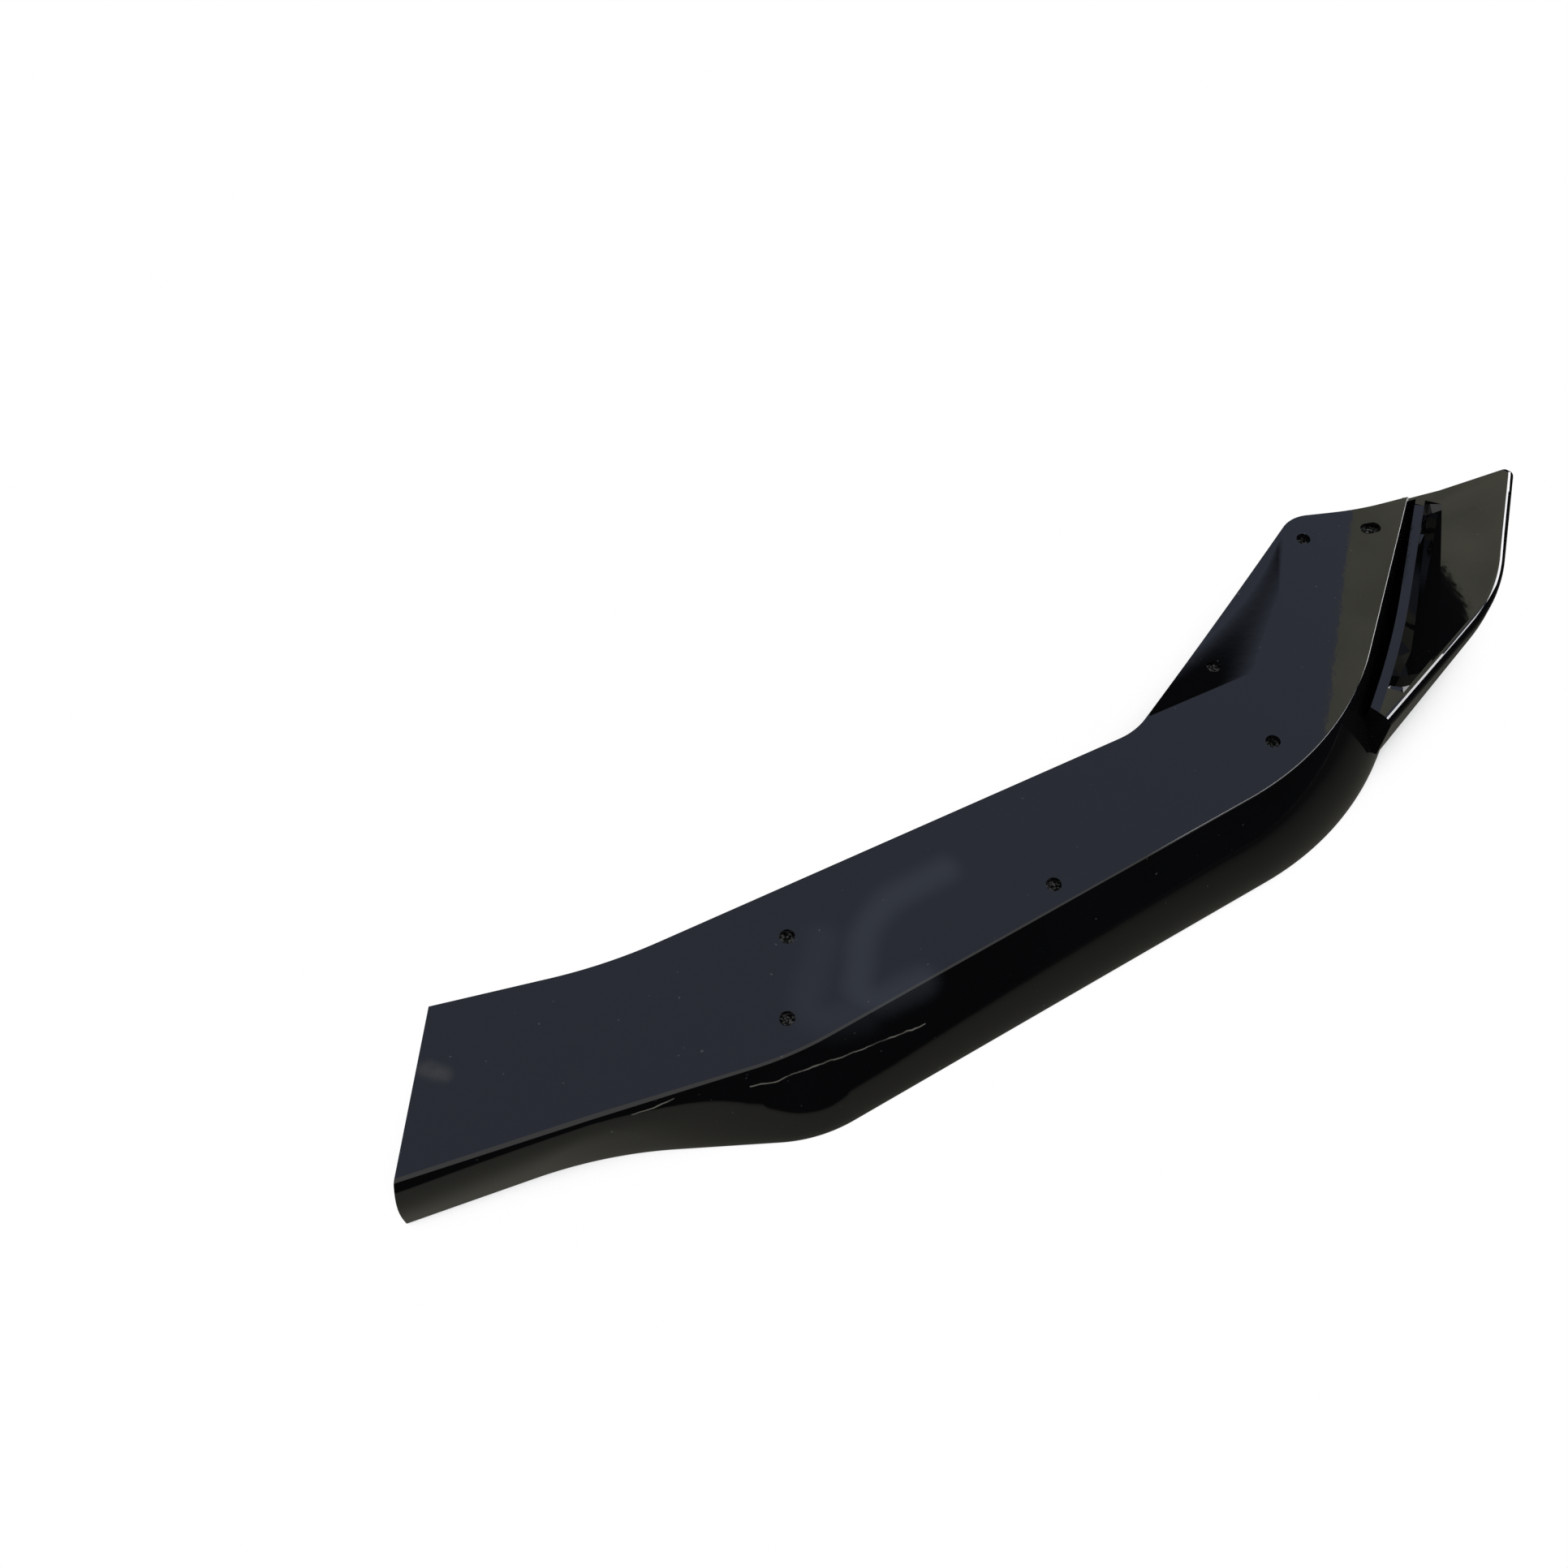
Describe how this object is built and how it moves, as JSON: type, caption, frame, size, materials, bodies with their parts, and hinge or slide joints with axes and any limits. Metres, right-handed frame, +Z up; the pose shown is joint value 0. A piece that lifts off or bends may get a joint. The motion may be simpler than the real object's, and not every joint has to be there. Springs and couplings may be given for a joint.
{
  "type": "bumper spoiler corner section",
  "caption": "Gloss black corner section of a front bumper lip: a screwed-on plate that bends round the corner, a rounded lip face and a winglet ahead of the wheel arch.",
  "frame": {"origin": "bottom centre of the bounding box, on the floor under the shell as it rests on its lower edge", "axes": "+X outboard along the longest side, from the joint with the centre section to the winglet; +Y rearward; +Z up, along the shortest side"},
  "size_m": [0.5424, 0.382, 0.051],
  "materials": {
    "black_plastic": "gloss"
  },
  "bodies": {
    "root": {"corner_lip": "black_plastic"}
  },
  "joints": []
}
